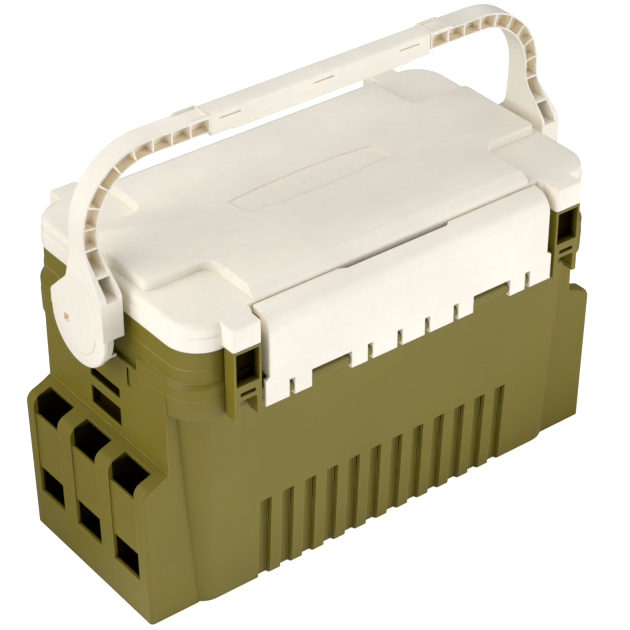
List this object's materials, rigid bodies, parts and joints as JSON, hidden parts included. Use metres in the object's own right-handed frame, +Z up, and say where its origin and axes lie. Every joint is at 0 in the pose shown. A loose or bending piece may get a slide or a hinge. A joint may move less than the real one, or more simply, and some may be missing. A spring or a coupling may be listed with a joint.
{
  "type": "fishing tackle box",
  "caption": "Fishing tackle box: olive tub with end rod racks and corner sockets, hinged cream lid, front latch flap, folding handle, lift-out tray.",
  "frame": {"origin": "middle of the base, on the surface the box stands on", "axes": "+X along the box to its right end, +Y to the rear, +Z up; the front with the latch flap faces -Y"},
  "size_m": [0.434, 0.233, 0.362],
  "materials": {
    "olive_plastic": "fine moulded texture, satin",
    "cream_plastic": "smooth moulded, satin",
    "tray_plastic": "smooth moulded",
    "hinge_steel": "drawn rod"
  },
  "bodies": {
    "tub": {"tub": "olive_plastic", "tub_belt": "olive_plastic", "left_rod_rack": "olive_plastic", "right_rod_rack": "olive_plastic", "front_left_socket": "olive_plastic", "front_right_socket": "olive_plastic", "rear_left_socket": "olive_plastic", "rear_right_socket": "olive_plastic", "front_hinge_pin": "hinge_steel", "rear_hinge_pin": "hinge_steel", "left_pivot_boss": "olive_plastic", "right_pivot_boss": "olive_plastic", "lift_out_tray": "tray_plastic", "tray_divider_1": "tray_plastic", "tray_divider_2": "tray_plastic", "tray_divider_3": "tray_plastic", "tray_divider_4": "tray_plastic", "tray_divider_5": "tray_plastic", "tray_divider_6": "tray_plastic", "left_well_partition": "tray_plastic", "right_well_partition": "tray_plastic"},
    "lid": {"lid_shell": "cream_plastic", "left_lid_end": "cream_plastic", "right_lid_end": "cream_plastic"},
    "latch": {"front_latch": "cream_plastic"},
    "handle": {"left_handle_arm": "cream_plastic", "right_handle_arm": "cream_plastic", "grip_upper": "cream_plastic", "grip_lower": "cream_plastic", "left_pivot_clip": "cream_plastic", "right_pivot_clip": "cream_plastic"}
  },
  "joints": [
    {"name": "handle_fold", "type": "hinge", "parent": "tub", "child": "handle", "pos_m": [0, 0, 0.228], "axis": [1, 0, 0], "range_deg": [0, 66]},
    {"name": "lid_hinge", "type": "hinge", "parent": "tub", "child": "lid", "pos_m": [0, 0.113, 0.2435], "axis": [-1, 0, 0], "range_deg": [0, 24]},
    {"name": "latch_hinge", "type": "hinge", "parent": "tub", "child": "latch", "pos_m": [0, -0.1105, 0.1925], "axis": [1, 0, 0], "range_deg": [0, 88]}
  ]
}
